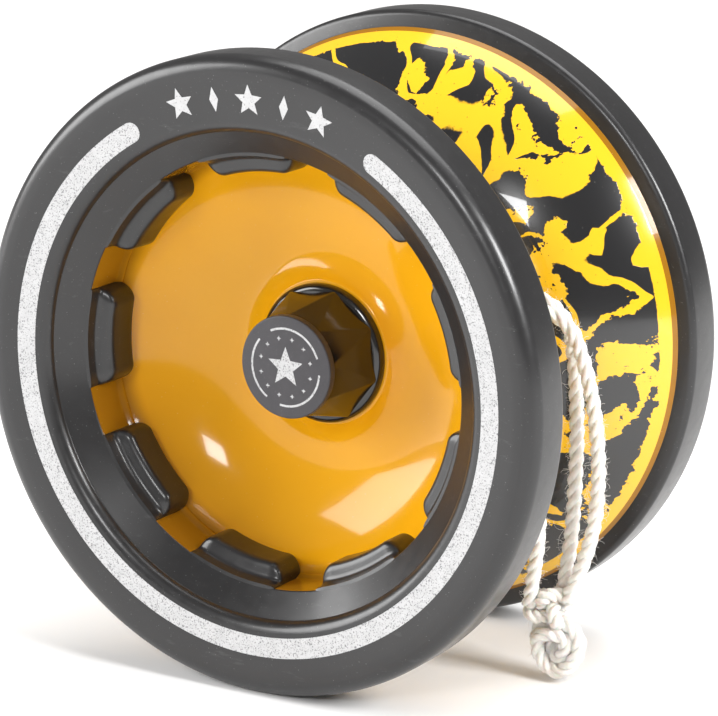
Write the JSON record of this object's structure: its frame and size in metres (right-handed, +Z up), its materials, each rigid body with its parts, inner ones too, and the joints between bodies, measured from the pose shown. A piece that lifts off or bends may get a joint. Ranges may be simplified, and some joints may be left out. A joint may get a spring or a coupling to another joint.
{
  "type": "yo-yo",
  "caption": "Wide ball-bearing yo-yo: two dished plastic halves with rubber rims and hub knobs, joined by an axle, with a cotton string wound in the gap.",
  "frame": {"origin": "middle of the axle, halfway between the halves", "axes": "+Y along the spin axis from the front half to the rear half, +Z up as it stands on its rims, +X towards the side where the string hangs"},
  "size_m": [0.07, 0.0418, 0.07],
  "materials": {
    "yellow_plastic": "gloss",
    "rim_rubber": "satin",
    "hub_plastic": "gloss",
    "cap_plastic": "matte",
    "brass": "satin",
    "spacer_aluminium": "satin",
    "pad_silicone": "matte",
    "bearing_steel": "polished",
    "axle_steel": "satin",
    "cage_nylon": "matte",
    "string_cotton": "twisted"
  },
  "bodies": {
    "string": {"bearing_outer_race": "bearing_steel", "front_bearing_shield": "bearing_steel", "rear_bearing_shield": "bearing_steel", "front_shield_clip": "bearing_steel", "rear_shield_clip": "bearing_steel", "string_winding": "string_cotton", "string_tail": "string_cotton", "string_noose": "string_cotton", "string_knot": "string_cotton", "finger_loop": "string_cotton"},
    "front_half": {"axle": "axle_steel", "bearing_inner_race": "bearing_steel", "front_bearing_spacer": "spacer_aluminium", "front_shell": "yellow_plastic", "front_rubber_rim": "rim_rubber", "front_hub_knob": "hub_plastic", "front_hub_cap": "cap_plastic", "front_axle_nut": "brass", "front_response_pad": "pad_silicone"},
    "ball_set": {"bearing_balls": "bearing_steel", "ball_cage": "cage_nylon"},
    "rear_spacer": {"rear_bearing_spacer": "spacer_aluminium"},
    "rear_half": {"rear_shell": "yellow_plastic", "rear_rubber_rim": "rim_rubber", "rear_hub_knob": "hub_plastic", "rear_hub_cap": "cap_plastic", "rear_axle_nut": "brass", "rear_response_pad": "pad_silicone"}
  },
  "joints": [
    {"name": "spin", "type": "hinge", "parent": "string", "child": "front_half", "pos_m": [0, 0, 0], "axis": [0, 1, 0], "continuous": true},
    {"name": "ball_orbit", "type": "hinge", "parent": "string", "child": "ball_set", "pos_m": [0, 0, 0], "axis": [0, 1, 0], "continuous": true},
    {"name": "unscrew_travel", "type": "slide", "parent": "front_half", "child": "rear_spacer", "axis": [0, 1, 0], "range_m": [0, 0.00316]},
    {"name": "unscrew_turn", "type": "hinge", "parent": "rear_spacer", "child": "rear_half", "pos_m": [0, 0, 0], "axis": [0, 1, 0], "range_deg": [0, 1620]}
  ],
  "couplings": [
    {"joint": "ball_orbit", "follows": "spin", "ratio": 0.41664},
    {"joint": "unscrew_travel", "follows": "unscrew_turn", "m_per_rad": 0.00011141}
  ]
}
